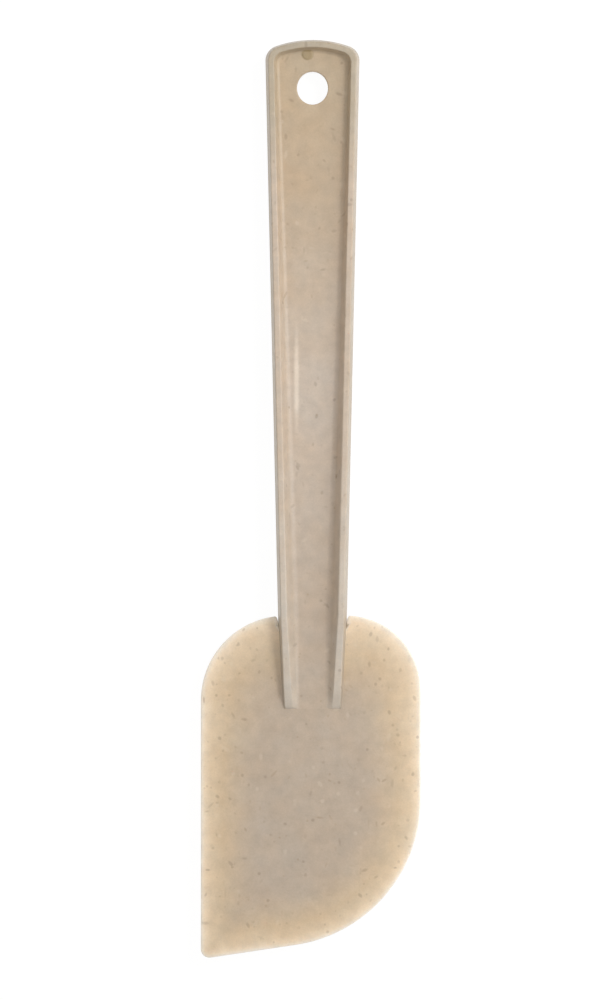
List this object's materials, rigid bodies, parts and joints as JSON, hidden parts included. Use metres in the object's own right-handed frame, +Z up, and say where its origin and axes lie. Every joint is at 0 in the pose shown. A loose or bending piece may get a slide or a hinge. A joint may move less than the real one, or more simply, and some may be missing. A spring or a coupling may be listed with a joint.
{
  "type": "bowl scraper",
  "caption": "Hand-held bowl scraper: a stiff ribbed handle with a hanging hole, and a thin flexible blade with one square and one rounded corner.",
  "frame": {"origin": "centre of the tool's length and of the blade's width, at the height of the surface that the tool lies on", "axes": "+Y towards the hanging end of the handle, +X to the right of the pictured face, +Z up out of that face; the tool lies on the straight edges of its back rims"},
  "size_m": [0.0622, 0.26, 0.0118],
  "materials": {
    "handle_plastic": "warm beige fibre-filled plastic, moulded, satin, with sparse dark plant-fibre flecks",
    "blade_plastic": "the same beige flecked plastic in a flexible grade, moulded, satin, letting light through at its thin edge"
  },
  "bodies": {
    "root": {"handle": "handle_plastic", "blade": "blade_plastic"}
  },
  "joints": []
}
